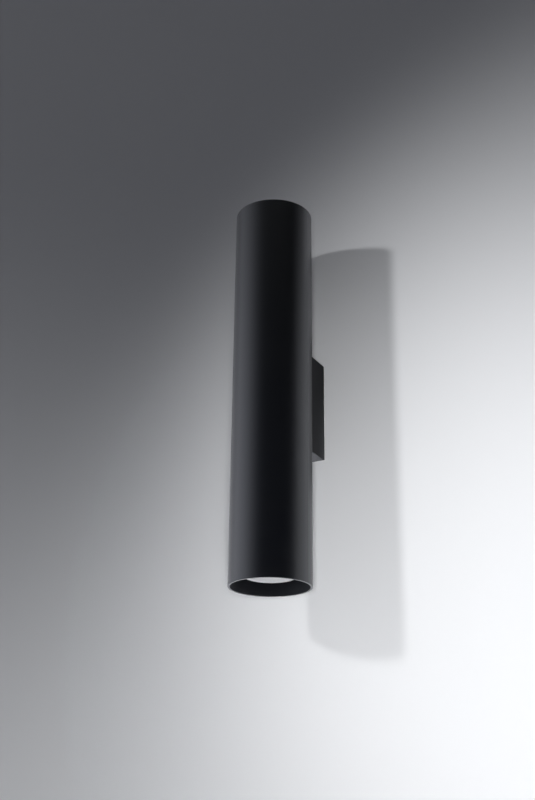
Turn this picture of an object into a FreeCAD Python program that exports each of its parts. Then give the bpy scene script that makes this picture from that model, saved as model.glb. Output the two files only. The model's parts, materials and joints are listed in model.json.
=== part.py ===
import FreeCAD, Part
import math
import os

# Wall lamp: a round steel tube open at both ends, held off the wall by a small box.
# A pin-base reflector bulb sits just inside each mouth, one shining down and one up.
# Frame: +Z up, the wall is the plane y = 0, the lamp stands out towards -Y, and the
# origin is the middle of the box's back. All sizes are in millimetres.

Vector = FreeCAD.Vector
Y_AXIS = Vector(0, 1, 0)
Z_AXIS = Vector(0, 0, 1)
LOWER = -1
UPPER = 1
END_NAMES = {LOWER: "lower", UPPER: "upper"}
LIVE = 1
NEUTRAL = -1

# Tube
TUBE_DIAMETER = 80.0
TUBE_LENGTH = 400.0
TUBE_WALL = 2.0
TUBE_EDGE = 0.3

# Wall box
BOX_WIDTH = 44.0
BOX_HEIGHT = 106.0
BOX_DEPTH = 35.0
BOX_WALL = 1.5
BOX_EDGE = 0.6
SADDLE_GAP = 0.1

# Wall plate
PLATE_THICKNESS = 1.5
PLATE_SIDE_GAP = 0.5
PLATE_END_GAP = 0.3
PLATE_TAB_DEPTH = 13.5
PLATE_TAB_WIDTH = 24.0
PLATE_BEND = 1.0
WALL_SCREW_SPACING = 60.0
WALL_SLOT_WIDTH = 4.5
WALL_SLOT_LENGTH = 8.0
CABLE_HOLE_DIAMETER = 16.0
CABLE_HOLE_BRIDGE = 4.0

# Clearances and the overrun of every cut
FIT_GAP = 0.1
HOLE_GAP = 0.2
OVERRUN = 1.0

# Screws: M4 through the box's ends and through the tube, M3 in the lampholders
M4_DIAMETER = 4.0
M4_HEAD_DIAMETER = 7.6
M4_HEAD_HEIGHT = 2.6
M3_DIAMETER = 3.0
M3_HEAD_DIAMETER = 5.5
M3_HEAD_HEIGHT = 2.0
M25_DIAMETER = 2.5
M25_HEAD_DIAMETER = 4.5
M25_HEAD_HEIGHT = 1.6
M4_SIZES = (M4_DIAMETER, M4_HEAD_DIAMETER, M4_HEAD_HEIGHT)
M3_SIZES = (M3_DIAMETER, M3_HEAD_DIAMETER, M3_HEAD_HEIGHT)
M25_SIZES = (M25_DIAMETER, M25_HEAD_DIAMETER, M25_HEAD_HEIGHT)
RECESS_WIDTH = 0.9
recess_length_share = 0.55
recess_depth_share = 0.6
BOX_SCREW_LENGTH = 6.0
BOX_SCREW_SETBACK = 8.0
TUBE_SCREW_LENGTH = 12.0
TUBE_SCREW_INSET = 9.5
WASHER_DIAMETER = 9.0
WASHER_THICKNESS = 0.8

# Rail that carries the lampholders
RAIL_WIDTH = 18.0
RAIL_THICKNESS = 1.5
RAIL_TAB_MARGIN = 4.0
NUT_ACROSS_FLATS = 7.0
NUT_HEIGHT = 3.0
NUT_SPIGOT_DIAMETER = 5.4

# Grommet
GROMMET_BORE_GAP = 0.36
GROMMET_WALL = 1.2
GROMMET_FLANGE_OVERHANG = 2.1
GROMMET_FLANGE_THICKNESS = 1.5
GROMMET_LIP_OVERHANG = 0.9
GROMMET_LIP_THICKNESS = 1.2

# Bulb with two pins 10 apart and a frosted face
BULB_DIAMETER = 50.0
BULB_LENGTH = 48.0
BULB_RECESS = 10.0
BULB_FACE_EDGE = 0.5
BULB_RIM_HEIGHT = 6.0
SHELL_LENGTH = 34.0
SHELL_WALL = 1.2
NECK_DIAMETER = 29.0
shell_bulge_share = 0.08
LENS_SINK = 0.3
LENS_THICKNESS = 2.0
LENS_STEP = 1.0
BOARD_DEPTH = 5.5
BOARD_THICKNESS = 1.6
BOARD_LEDGE_WIDTH = 1.8
CHIP_COUNT = 6
CHIP_CIRCLE_DIAMETER = 20.0
CHIP_SIDE = 2.4
CHIP_HEIGHT = 0.6
BASE_DIAMETER = 23.0
BASE_BEVEL = 1.5
BASE_FLANGE_THICKNESS = 2.0
BASE_SPIGOT_LENGTH = 4.0
BASE_WALL = 1.5
BASE_END_THICKNESS = 3.0
PIN_SPACING = 10.0
PIN_DIAMETER = 3.1
PIN_HEAD_DIAMETER = 4.9
PIN_LENGTH = 6.5
PIN_HEAD_HEIGHT = 3.0
PIN_HEAD_EDGE = 0.4
PIN_TAIL = 2.0
DRIVER_THICKNESS = 1.2
DRIVER_EDGE_GAP = 0.8
CAPACITOR_DIAMETER = 7.0
CAPACITOR_LENGTH = 11.0
CAPACITOR_SETBACK = 6.0
COIL_SIDE = 6.5
COIL_HEIGHT = 6.0
COIL_END_GAP = 5.4
BRIDGE_WIDTH = 5.0
BRIDGE_THICKNESS = 2.0
BRIDGE_LENGTH = 6.0
TWIST_DEGREES = 45.0

# Lampholder
BASE_GAP = 0.2
HOLDER_DIAMETER = 30.0
HOLDER_FLAT_DEPTH = 1.0
HOLDER_BODY_LENGTH = 13.0
HOLDER_CAP_LENGTH = 5.0
PIN_SEAT_GAP = 0.3
KEYHOLE_GAP = 0.2
HOLDER_SCREW_EDGE = 4.0
HOLDER_COUNTERBORE_DEPTH = 3.5
HOLDER_COUNTERBORE_GAP = 0.35
HOLDER_SCREW_PROUD = 1.0
CONTACT_WIDTH = 3.6
CONTACT_THICKNESS = 0.4
CONTACT_CAP_GAP = 0.8
CONTACT_SLANT = 1.2
CONTACT_INNER_REACH = 2.2
CONTACT_OUTER_REACH = 1.5
CONTACT_SIDE_GAP = 0.3
CONTACT_END_GAP = 0.4
HOLDER_LEAD_EDGE = 2.5

# Terminal block
POLE_WALL = 0.5
BLOCK_END_WIDTH = 5.0
BLOCK_LENGTH = 17.0
BLOCK_FLOOR = 6.2
BLOCK_ROOF = 0.9
BLOCK_SCREW_GAP = 2.5
TURRET_DIAMETER = 6.2
TURRET_HEIGHT = 3.0
TURRET_GAP = 0.2
CLAMP_WALL = 0.85
CLAMP_LENGTH = 11.0
CLAMP_BORE_GAP = 0.15
CLAMP_SCREW_LENGTH = 4.0
FUNNEL_GAP = 0.6

# Earth ring terminal
RING_DIAMETER = 8.0
RING_THICKNESS = 0.8
BARREL_LENGTH = 6.0
BARREL_WALL = 0.5

# Leads
LEAD_DIAMETER = 2.0
CORE_DIAMETER = 1.0
CORE_LENGTH = 6.0
LEAD_GATE_GAP = 0.6
LEAD_STACK_GAP = 0.2
LEAD_NUT_GAP = 0.96
LEAD_APPROACH = 6.8
LEAD_SOCKET_RUN = 12.0
LEAD_CROSS_RUN = 22.0
LEAD_LEAVE_DROP = 10.0
LEAD_TURN_DROP = 12.0
LEAD_ENTRY_RUN = 5.0
EARTH_SWING = 3.0
bend_share = 0.45

# Lead clips
CLIP_LENGTH = 6.0
CLIP_SIDE_WALL = 1.4
CLIP_COVER = 1.2
CLIP_STUD_DIAMETER = 3.6
CLIP_RISE = 13.0
CLIP_LIP = 0.6

# Places that follow from the sizes above
tube_radius = TUBE_DIAMETER / 2
bore_radius = tube_radius - TUBE_WALL
axis_y = -(BOX_DEPTH + tube_radius)
web_front_y = SADDLE_GAP - BOX_DEPTH
web_back_y = web_front_y + BOX_WALL
box_inner_x = BOX_WIDTH / 2 - BOX_WALL
box_inner_z = BOX_HEIGHT / 2 - BOX_WALL
plate_end_z = box_inner_z - PLATE_END_GAP
cable_hole_radius = CABLE_HOLE_DIAMETER / 2
wall_slot_low_z = -(WALL_SCREW_SPACING - WALL_SLOT_LENGTH) / 2
cable_hole_z = wall_slot_low_z + CABLE_HOLE_BRIDGE + cable_hole_radius
tube_screw_z = box_inner_z - TUBE_SCREW_INSET
clip_z = tube_screw_z + CLIP_RISE
rail_back_y = axis_y + math.sqrt(bore_radius ** 2 - (RAIL_WIDTH / 2) ** 2) - FIT_GAP
rail_front_y = rail_back_y - RAIL_THICKNESS
holder_front = BULB_LENGTH + BASE_GAP
holder_cap_start = holder_front + HOLDER_BODY_LENGTH
holder_back = holder_cap_start + HOLDER_CAP_LENGTH
holder_front_back = BULB_LENGTH + PIN_LENGTH - PIN_HEAD_HEIGHT - PIN_SEAT_GAP
holder_flat_x = HOLDER_DIAMETER / 2 - HOLDER_FLAT_DEPTH
holder_screw_y = HOLDER_DIAMETER / 2 - HOLDER_SCREW_EDGE
holder_lead_x = holder_flat_x - HOLDER_LEAD_EDGE
face_z = TUBE_LENGTH / 2 - BULB_RECESS
rail_end_z = face_z - holder_back
contact_level = BULB_LENGTH + PIN_LENGTH + BASE_GAP
contact_tail_level = holder_cap_start - CONTACT_CAP_GAP
lead_gate = (LEAD_DIAMETER + LEAD_GATE_GAP) / 2
lead_stack = (LEAD_DIAMETER + LEAD_STACK_GAP) / 2
lead_rail_x = NUT_ACROSS_FLATS / math.sqrt(3) + LEAD_NUT_GAP + LEAD_DIAMETER / 2
lead_rail_y = rail_front_y - FIT_GAP - LEAD_DIAMETER / 2
grommet_bore = math.hypot(lead_gate, lead_gate) + LEAD_DIAMETER / 2 + GROMMET_BORE_GAP
grommet_neck = grommet_bore + GROMMET_WALL
grommet_lip = grommet_neck + GROMMET_LIP_OVERHANG
clamp_bore = CORE_DIAMETER / 2 + lead_stack + CLAMP_BORE_GAP
clamp_half = clamp_bore + CLAMP_WALL
clamp_axis_y = web_back_y + BLOCK_FLOOR + FIT_GAP + clamp_half
block_top_y = clamp_axis_y + clamp_half + FIT_GAP + BLOCK_ROOF
block_high_z = tube_screw_z - WASHER_DIAMETER / 2 - BLOCK_SCREW_GAP
block_low_z = block_high_z - BLOCK_LENGTH
block_middle_z = (block_low_z + block_high_z) / 2
clamp_low_z = block_middle_z - CLAMP_LENGTH / 2
fixing_x = clamp_half + FIT_GAP + POLE_WALL + (M25_DIAMETER + FIT_GAP) / 2
turret_reach = (TURRET_DIAMETER + M25_HEAD_DIAMETER) / 2 + TURRET_GAP
clamp_screw_rise = math.sqrt(turret_reach ** 2 - fixing_x ** 2)
neck_radius = NECK_DIAMETER / 2
pole_xs = {"neutral": -2 * fixing_x, "live": 0, "earth": 2 * fixing_x}


def box(low, high):
    """A block between two opposite corners."""
    size = high - low
    return Part.makeBox(size.x, size.y, size.z, low)


def rod(diameter, start, end):
    """A round bar from one point to another."""
    return Part.makeCylinder(diameter / 2, (end - start).Length, start, end - start)


def post(diameter, x, y, low_z, high_z):
    """An upright round bar."""
    return rod(diameter, Vector(x, y, low_z), Vector(x, y, high_z))


def spindle(diameter, x, z, low_y, high_y):
    """A level round bar, square to the wall."""
    return rod(diameter, Vector(x, low_y, z), Vector(x, high_y, z))


def turned(points, centre, axis):
    """A solid of revolution from (radius, height) points about the local axis, set on its place."""
    wire = Part.makePolygon([Vector(r, 0, h) for r, h in points + points[:1]])
    return set_down(Part.Face(wire).revolve(Vector(), Z_AXIS, 360), centre, axis)


def set_down(shape, centre, axis):
    """Turn a shape that was drawn along +Z onto an axis, and move it to a centre."""
    shape.Placement = FreeCAD.Placement(centre, FreeCAD.Rotation(Z_AXIS, axis))
    return shape


def hexagon(across_flats, height, centre, axis):
    """A hexagonal prism with its near face at the centre."""
    radius = across_flats / math.sqrt(3)
    corners = []
    for corner in range(7):
        angle = math.radians(60 * corner)
        corners.append(Vector(radius * math.cos(angle), radius * math.sin(angle), 0))
    prism = Part.Face(Part.makePolygon(corners)).extrude(Z_AXIS * height)
    return set_down(prism, centre, axis)


def slot(width, length, thickness):
    """An upright slot cutter with round ends, centred on the origin, through a wall along Y."""
    radius = width / 2
    reach = length / 2 - radius
    low, high = Vector(0, 0, -reach), Vector(0, 0, reach)
    half = Y_AXIS * (thickness / 2)
    bar = box(Vector(-radius, -thickness / 2, -reach), Vector(radius, thickness / 2, reach))
    ends = [rod(width, low - half, low + half), rod(width, high - half, high + half)]
    return bar.fuse(ends).removeSplitter()


def cross_recess(head_diameter, head_height):
    """The cross that a driver fits, sunk in the top of a screw head that points along +Z."""
    reach = head_diameter * recess_length_share / 2
    depth = head_height * recess_depth_share
    half = RECESS_WIDTH / 2
    top = head_height + OVERRUN
    low_z = head_height - depth
    one = box(Vector(-reach, -half, low_z), Vector(reach, half, top))
    other = box(Vector(-half, -reach, low_z), Vector(half, reach, top))
    return one.fuse(other)


def pan_screw(sizes, length, seat, axis):
    """A screw with a rounded head. The axis points out of the head, which sits on the seat."""
    diameter, head_diameter, head_height = sizes
    head = Part.makeCylinder(head_diameter / 2, head_height)
    top_edge = [edge for edge in head.Edges if edge.BoundBox.ZMin > head_height / 2]
    head = head.makeFillet(head_height / 2, top_edge)
    head = head.cut(cross_recess(head_diameter, head_height))
    shank = Part.makeCylinder(diameter / 2, length, Vector(0, 0, -length))
    return set_down(head.fuse(shank).removeSplitter(), seat, axis)


def arc_slot(circle_radius, width, low, high):
    """A cutter along the arc that a pin follows, from its locked place to its release."""
    half = width / 2
    turn = math.radians(TWIST_DEGREES)

    def at(radius, angle):
        return Vector(radius * math.cos(angle), -radius * math.sin(angle), low)

    def past(angle, sign):
        centre = at(circle_radius, angle)
        along = Vector(math.sin(angle), math.cos(angle), 0)
        return centre - along * (sign * half)

    outer = circle_radius + half
    inner = circle_radius - half
    middle = turn / 2
    edges = [
        Part.Arc(at(outer, 0), at(outer, middle), at(outer, turn)).toShape(),
        Part.Arc(at(outer, turn), past(turn, 1), at(inner, turn)).toShape(),
        Part.Arc(at(inner, turn), at(inner, middle), at(inner, 0)).toShape(),
        Part.Arc(at(inner, 0), past(0, -1), at(outer, 0)).toShape(),
    ]
    return Part.Face(Part.Wire(edges)).extrude(Vector(0, 0, high - low))


def both_sides(shape):
    """A shape and its copy half a turn about the local axis."""
    copy = shape.copy()
    copy.rotate(Vector(), Z_AXIS, 180)
    return [shape, copy]


def at_end(shape, end):
    """Place a shape drawn from the bulb's face inwards at the tube's lower or upper end."""
    placed = shape.copy()
    if end == UPPER:
        placed.rotate(Vector(), Y_AXIS, 180)
    placed.translate(Vector(0, axis_y, end * face_z))
    return placed


def group(shapes):
    return Part.makeCompound(shapes)


def body_tube():
    foot = Vector(0, axis_y, -TUBE_LENGTH / 2)
    tube = Part.makeCylinder(tube_radius, TUBE_LENGTH, foot)
    tube = tube.cut(Part.makeCylinder(bore_radius, TUBE_LENGTH, foot))
    rims = [edge for edge in tube.Edges if edge.BoundBox.ZLength < TUBE_WALL / 2]
    tube = tube.makeFillet(TUBE_EDGE, rims)
    cuts = back_holes(axis_y + bore_radius - OVERRUN, axis_y + tube_radius + OVERRUN)
    return tube.cut(cuts)


def back_holes(start_y, end_y):
    """The two screw holes and the lead hole that the tube's back and the box's web share."""
    holes = [spindle(2 * (grommet_neck + FIT_GAP), 0, 0, start_y, end_y)]
    for z in (-tube_screw_z, tube_screw_z):
        holes.append(spindle(M4_DIAMETER + 2 * HOLE_GAP, 0, z, start_y, end_y))
    return holes


def box_layer(start_y, end_y):
    """The room between the box's four walls, from one depth to another."""
    low = Vector(-box_inner_x, start_y, -box_inner_z)
    return box(low, Vector(box_inner_x, end_y, box_inner_z))


def wall_box():
    """Four walls that are cut to the tube's curve in front, with a web against the tube's back."""
    half_x, half_z = BOX_WIDTH / 2, BOX_HEIGHT / 2
    shell = box(Vector(-half_x, axis_y, -half_z), Vector(half_x, 0, half_z))
    corners = [edge for edge in shell.Edges if edge.BoundBox.YLength > BOX_DEPTH]
    shell = shell.makeFillet(BOX_EDGE, corners)
    tube = post(TUBE_DIAMETER + 2 * SADDLE_GAP, 0, axis_y, -BOX_HEIGHT, BOX_HEIGHT)
    hollow = [box_layer(web_back_y, OVERRUN), box_layer(axis_y - OVERRUN, web_front_y), tube]
    start_y, end_y = web_front_y - OVERRUN, web_back_y + OVERRUN
    holes = back_holes(start_y, end_y)
    for x, z in block_fixings():
        holes.append(spindle(M25_DIAMETER + FIT_GAP, x, z, start_y, end_y))
    holes.append(post(M4_DIAMETER + 2 * HOLE_GAP, 0, -BOX_SCREW_SETBACK, -BOX_HEIGHT, BOX_HEIGHT))
    return shell.cut(hollow).cut(holes)


def cross_edges(shape, y, z):
    """The straight edges across the shape at this depth and this height above or below the middle."""
    found = []
    for edge in shape.Edges:
        middle = edge.BoundBox.Center
        across = edge.BoundBox.XLength > PLATE_TAB_WIDTH - FIT_GAP
        if across and abs(middle.y - y) < FIT_GAP and abs(abs(middle.z) - z) < FIT_GAP:
            found.append(edge)
    return found


def wall_plate():
    """A steel strip with a folded tab at each end, two slots for wall screws and a cable hole."""
    half_x = box_inner_x - PLATE_SIDE_GAP
    tab_x = PLATE_TAB_WIDTH / 2
    tab_low = plate_end_z - PLATE_THICKNESS
    shoulder_z = tab_low - PLATE_BEND
    strip = box(Vector(-half_x, -PLATE_THICKNESS, -shoulder_z), Vector(half_x, 0, shoulder_z))
    folded = [box(Vector(-tab_x, -PLATE_THICKNESS, -plate_end_z), Vector(tab_x, 0, plate_end_z))]
    for low_z, high_z in ((-plate_end_z, -tab_low), (tab_low, plate_end_z)):
        folded.append(box(Vector(-tab_x, -PLATE_TAB_DEPTH, low_z), Vector(tab_x, 0, high_z)))
    plate = strip.fuse(folded).removeSplitter()
    plate = plate.makeFillet(PLATE_BEND, cross_edges(plate, -PLATE_THICKNESS, tab_low))
    plate = plate.makeFillet(PLATE_BEND + PLATE_THICKNESS, cross_edges(plate, 0, plate_end_z))
    cuts = []
    for z in (-WALL_SCREW_SPACING / 2, WALL_SCREW_SPACING / 2):
        cutter = slot(WALL_SLOT_WIDTH, WALL_SLOT_LENGTH, 2 * PLATE_THICKNESS + OVERRUN)
        cutter.translate(Vector(0, 0, z))
        cuts.append(cutter)
    start_y = -PLATE_THICKNESS - OVERRUN
    cuts.append(spindle(CABLE_HOLE_DIAMETER, 0, cable_hole_z, start_y, OVERRUN))
    cuts.append(post(M4_DIAMETER + FIT_GAP, 0, -BOX_SCREW_SETBACK, -BOX_HEIGHT, BOX_HEIGHT))
    return plate.cut(cuts)


def box_screws():
    screws = []
    for end in (LOWER, UPPER):
        seat = Vector(0, -BOX_SCREW_SETBACK, end * BOX_HEIGHT / 2)
        axis = Z_AXIS * end
        screws.append(pan_screw(M4_SIZES, BOX_SCREW_LENGTH, seat, axis))
    return group(screws)


def ring_stack(z):
    """What lies between the web and the washer: only the lower screw also clamps the earth ring."""
    return RING_THICKNESS if z < 0 else 0


def tube_screws():
    screws = []
    for z in (-tube_screw_z, tube_screw_z):
        seat = Vector(0, web_back_y + ring_stack(z) + WASHER_THICKNESS, z)
        screws.append(pan_screw(M4_SIZES, TUBE_SCREW_LENGTH, seat, Y_AXIS))
    return group(screws)


def tube_screw_washers():
    washers = []
    for z in (-tube_screw_z, tube_screw_z):
        low = Vector(0, web_back_y + ring_stack(z), z)
        high = low + Y_AXIS * WASHER_THICKNESS
        washer = rod(WASHER_DIAMETER, low, high)
        washers.append(washer.cut(rod(M4_DIAMETER + 2 * FIT_GAP, low, high)))
    return group(washers)


def earth_ring_terminal():
    low = Vector(0, web_back_y, -tube_screw_z)
    high = low + Y_AXIS * RING_THICKNESS
    ring = rod(RING_DIAMETER, low, high)
    barrel_diameter = LEAD_DIAMETER + 2 * (BARREL_WALL + FIT_GAP)
    centre_y, start_z, end_z = barrel_place()
    tongue_x = LEAD_DIAMETER / 2
    tongue = box(Vector(-tongue_x, low.y, low.z), Vector(tongue_x, high.y, end_z))
    start, end = Vector(0, centre_y, start_z), Vector(0, centre_y, end_z)
    barrel = rod(barrel_diameter, start, end)
    body = ring.fuse([tongue, barrel])
    bore = rod(LEAD_DIAMETER + 2 * FIT_GAP, start + Z_AXIS * BARREL_WALL, end + Z_AXIS * OVERRUN)
    hole = rod(M4_DIAMETER + 2 * FIT_GAP, low, high)
    return body.cut([bore, hole]).removeSplitter()


def barrel_place():
    """The barrel's axis, and its ends, the first of them clear of the washer."""
    outer_radius = LEAD_DIAMETER / 2 + BARREL_WALL + FIT_GAP
    start_z = WASHER_DIAMETER / 2 + HOLE_GAP - tube_screw_z
    return web_back_y + outer_radius, start_z, start_z + BARREL_LENGTH


def socket_rail():
    """A strip down the tube's back with a tab at each end. The leads clear the tabs' sides."""
    half_x = RAIL_WIDTH / 2
    strip = box(Vector(-half_x, rail_front_y, -rail_end_z), Vector(half_x, rail_back_y, rail_end_z))
    far_y = axis_y - holder_screw_y - RAIL_TAB_MARGIN
    tab_low = rail_end_z - RAIL_THICKNESS
    tabs = []
    for low_z, high_z in ((-rail_end_z, -tab_low), (tab_low, rail_end_z)):
        tabs.append(box(Vector(-half_x, far_y, low_z), Vector(half_x, rail_back_y, high_z)))
    rail = strip.fuse(tabs).removeSplitter()
    cuts = []
    for z in (-tube_screw_z, tube_screw_z):
        cuts.append(through_rail(NUT_SPIGOT_DIAMETER + FIT_GAP, z))
    for z in (-clip_z, clip_z):
        cuts.append(through_rail(CLIP_STUD_DIAMETER + FIT_GAP, z))
    cuts.append(through_rail(2 * (grommet_lip + HOLE_GAP), 0))
    for y in holder_screw_ys():
        cuts.append(post(M3_DIAMETER + FIT_GAP, 0, axis_y + y, -TUBE_LENGTH, TUBE_LENGTH))
    for x in (-holder_lead_x, holder_lead_x):
        cuts.append(post(LEAD_DIAMETER + 2 * HOLE_GAP, x, axis_y, -TUBE_LENGTH, TUBE_LENGTH))
    return rail.cut(cuts)


def through_rail(diameter, z):
    return spindle(diameter, 0, z, rail_front_y - OVERRUN, rail_back_y + OVERRUN)


def clinch_nuts():
    nuts = []
    for z in (-tube_screw_z, tube_screw_z):
        nut = hexagon(NUT_ACROSS_FLATS, NUT_HEIGHT, Vector(0, rail_front_y, z), -Y_AXIS)
        nut = nut.fuse(spindle(NUT_SPIGOT_DIAMETER, 0, z, rail_front_y, rail_back_y))
        bore_start = rail_front_y - NUT_HEIGHT - OVERRUN
        bore = spindle(M4_DIAMETER + FIT_GAP, 0, z, bore_start, rail_back_y + OVERRUN)
        nuts.append(nut.cut(bore).removeSplitter())
    return group(nuts)


def cable_grommet():
    lip_reach = math.sqrt(bore_radius ** 2 - grommet_lip ** 2)
    lip_seat = axis_y + lip_reach - FIT_GAP / 2 - web_back_y
    flange = grommet_neck + GROMMET_FLANGE_OVERHANG
    outline = [
        (grommet_bore, lip_seat - GROMMET_LIP_THICKNESS),
        (grommet_neck, lip_seat - GROMMET_LIP_THICKNESS),
        (grommet_lip, lip_seat),
        (grommet_neck, lip_seat),
        (grommet_neck, 0),
        (flange, 0),
        (flange, GROMMET_FLANGE_THICKNESS / 2),
        (grommet_neck, GROMMET_FLANGE_THICKNESS),
        (grommet_bore, GROMMET_FLANGE_THICKNESS),
    ]
    return turned(outline, Vector(0, web_back_y, 0), Y_AXIS)


def block_fixings():
    """The two places between the poles where a screw holds the block to the web."""
    return [(-fixing_x, block_middle_z), (fixing_x, block_middle_z)]


def clamp_screw_places():
    """The (x, z) place of both clamp screws of each pole."""
    places = []
    for x in pole_xs.values():
        for z in (block_middle_z - clamp_screw_rise, block_middle_z + clamp_screw_rise):
            places.append((x, z))
    return places


def terminal_block():
    half_x = pole_xs["earth"] + BLOCK_END_WIDTH
    low = Vector(-half_x, web_back_y, block_low_z)
    body = box(low, Vector(half_x, block_top_y, block_high_z))
    turrets = []
    for x, z in clamp_screw_places():
        turrets.append(spindle(TURRET_DIAMETER, x, z, clamp_axis_y, block_top_y + TURRET_HEIGHT))
    body = body.fuse(turrets).removeSplitter()
    cuts = []
    for x, z in clamp_screw_places():
        above = block_top_y + TURRET_HEIGHT + OVERRUN
        cuts.append(spindle(M3_DIAMETER + 2 * HOLE_GAP, x, z, clamp_axis_y, above))
    for x in pole_xs.values():
        cuts.append(funnel(x))
        cuts.append(clamp_blank(x, FIT_GAP))
    for x, z in block_fixings():
        start_y, end_y = web_back_y - OVERRUN, block_top_y + OVERRUN
        cuts.append(spindle(M25_DIAMETER + FIT_GAP, x, z, start_y, end_y))
    return body.cut(cuts)


def funnel(x):
    """The wire way of one pole, right through the block, for two leads one above the other."""
    half_x = LEAD_DIAMETER / 2 + FUNNEL_GAP
    half_y = half_x + lead_stack
    low = Vector(x - half_x, clamp_axis_y - half_y, block_low_z - OVERRUN)
    high = Vector(x + half_x, clamp_axis_y + half_y, block_high_z + OVERRUN)
    return box(low, high)


def clamp_blank(x, margin):
    half = clamp_half + margin
    low = Vector(x - half, clamp_axis_y - half, clamp_low_z)
    high = Vector(x + half, clamp_axis_y + half, clamp_low_z + CLAMP_LENGTH)
    return box(low, high)


def terminal_clamps():
    clamps = []
    for x in pole_xs.values():
        high_z = clamp_low_z + CLAMP_LENGTH + OVERRUN
        cuts = [post(2 * clamp_bore, x, clamp_axis_y, clamp_low_z - OVERRUN, high_z)]
        for screw_x, z in clamp_screw_places():
            if screw_x == x:
                above = clamp_axis_y + clamp_half + OVERRUN
                cuts.append(spindle(M3_DIAMETER + FIT_GAP, x, z, clamp_axis_y, above))
        clamps.append(clamp_blank(x, 0).cut(cuts))
    return group(clamps)


def terminal_clamp_screws():
    """Headless slotted screws, each down on the topmost bare wire of its pole."""
    screws = []
    half = RECESS_WIDTH / 2
    for x, z in clamp_screw_places():
        stacked = 0 if x == pole_xs["earth"] else lead_stack
        tip_y = clamp_axis_y + stacked + CORE_DIAMETER / 2
        head_y = tip_y + CLAMP_SCREW_LENGTH
        screw = spindle(M3_DIAMETER, x, z, tip_y, head_y)
        low = Vector(x - M3_DIAMETER, head_y - RECESS_WIDTH, z - half)
        high = Vector(x + M3_DIAMETER, head_y + OVERRUN, z + half)
        screws.append(screw.cut(box(low, high)))
    return group(screws)


def terminal_fixing_screws():
    length = block_top_y - web_front_y - SADDLE_GAP
    screws = []
    for x, z in block_fixings():
        seat = Vector(x, block_top_y, z)
        screws.append(pan_screw(M25_SIZES, length, seat, Y_AXIS))
    return group(screws)


def holder_screw_ys():
    return (-holder_screw_y, holder_screw_y)


def holder_blank(low, high):
    """A round block with two flats, in the bulb's own frame."""
    blank = Part.makeCylinder(HOLDER_DIAMETER / 2, high - low, Vector(0, 0, low))
    corner = Vector(holder_flat_x, HOLDER_DIAMETER, high)
    flats = box(Vector(-holder_flat_x, -HOLDER_DIAMETER, low), corner)
    return blank.common(flats)


def lampholder():
    body = holder_blank(holder_front, holder_cap_start)
    start, end = holder_front - OVERRUN, holder_front_back + OVERRUN
    circle = PIN_SPACING / 2
    narrow = PIN_DIAMETER + 2 * KEYHOLE_GAP
    wide = PIN_HEAD_DIAMETER + 2 * KEYHOLE_GAP
    turn = math.radians(TWIST_DEGREES)
    release = Vector(circle * math.cos(turn), -circle * math.sin(turn), start)
    entry = Part.makeCylinder(wide / 2, end - start, release)
    cuts = both_sides(arc_slot(circle, narrow, start, end))
    cuts += both_sides(entry)
    chamber = wide + 2 * FIT_GAP
    cuts += both_sides(arc_slot(circle, chamber, holder_front_back, holder_cap_start + OVERRUN))
    cuts += both_sides(contact_pocket())
    sink = M3_HEAD_DIAMETER + 2 * HOLDER_COUNTERBORE_GAP
    for y in holder_screw_ys():
        cuts.append(post(M3_DIAMETER + 2 * FIT_GAP, 0, y, start, holder_back))
        cuts.append(post(sink, 0, y, start, holder_front + HOLDER_COUNTERBORE_DEPTH))
    return body.cut(cuts)


def contact_reach():
    """How near to the axis and how far from it a contact strip goes."""
    inner = PIN_SPACING / 2 - CONTACT_INNER_REACH
    outer = holder_lead_x + CONTACT_OUTER_REACH
    return inner, outer


def contact_pocket():
    inner, outer = contact_reach()
    half = CONTACT_WIDTH / 2 + CONTACT_SIDE_GAP
    low = Vector(inner - CONTACT_END_GAP, -half, contact_level - CONTACT_END_GAP)
    high = Vector(outer + CONTACT_END_GAP, half, holder_cap_start + OVERRUN)
    return box(low, high)


def contacts():
    """Two spring strips, each from over a pin's end up to the end of its lead."""
    inner, outer = contact_reach()
    step_x = holder_lead_x - CONTACT_OUTER_REACH - CONTACT_SLANT
    thick = CONTACT_THICKNESS
    low, high = contact_level, contact_tail_level - CONTACT_THICKNESS
    outline = [
        (inner, low),
        (step_x, low),
        (step_x + CONTACT_SLANT, high),
        (outer, high),
        (outer, high + thick),
        (step_x + CONTACT_SLANT - thick, high + thick),
        (step_x - thick, low + thick),
        (inner, low + thick),
    ]
    half = CONTACT_WIDTH / 2
    wire = Part.makePolygon([Vector(x, -half, w) for x, w in outline + outline[:1]])
    return group(both_sides(Part.Face(wire).extrude(Y_AXIS * CONTACT_WIDTH)))


def holder_cap():
    cap = holder_blank(holder_cap_start, holder_back)
    cuts = []
    start, end = holder_cap_start - OVERRUN, holder_back + OVERRUN
    for y in holder_screw_ys():
        cuts.append(post(M3_DIAMETER + 2 * FIT_GAP, 0, y, start, end))
    for x in (-holder_lead_x, holder_lead_x):
        cuts.append(post(LEAD_DIAMETER + 2 * FIT_GAP, x, 0, start, end))
    return cap.cut(cuts)


def holder_screws():
    seat_level = holder_front + HOLDER_COUNTERBORE_DEPTH
    length = holder_back + RAIL_THICKNESS + HOLDER_SCREW_PROUD - seat_level
    screws = []
    for y in holder_screw_ys():
        seat = Vector(0, y, seat_level)
        screws.append(pan_screw(M3_SIZES, length, seat, -Z_AXIS))
    return group(screws)


def outline_edge(start, end):
    """A straight edge between two (radius, height) points."""
    return Part.LineSegment(Vector(start[0], 0, start[1]), Vector(end[0], 0, end[1])).toShape()


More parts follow.
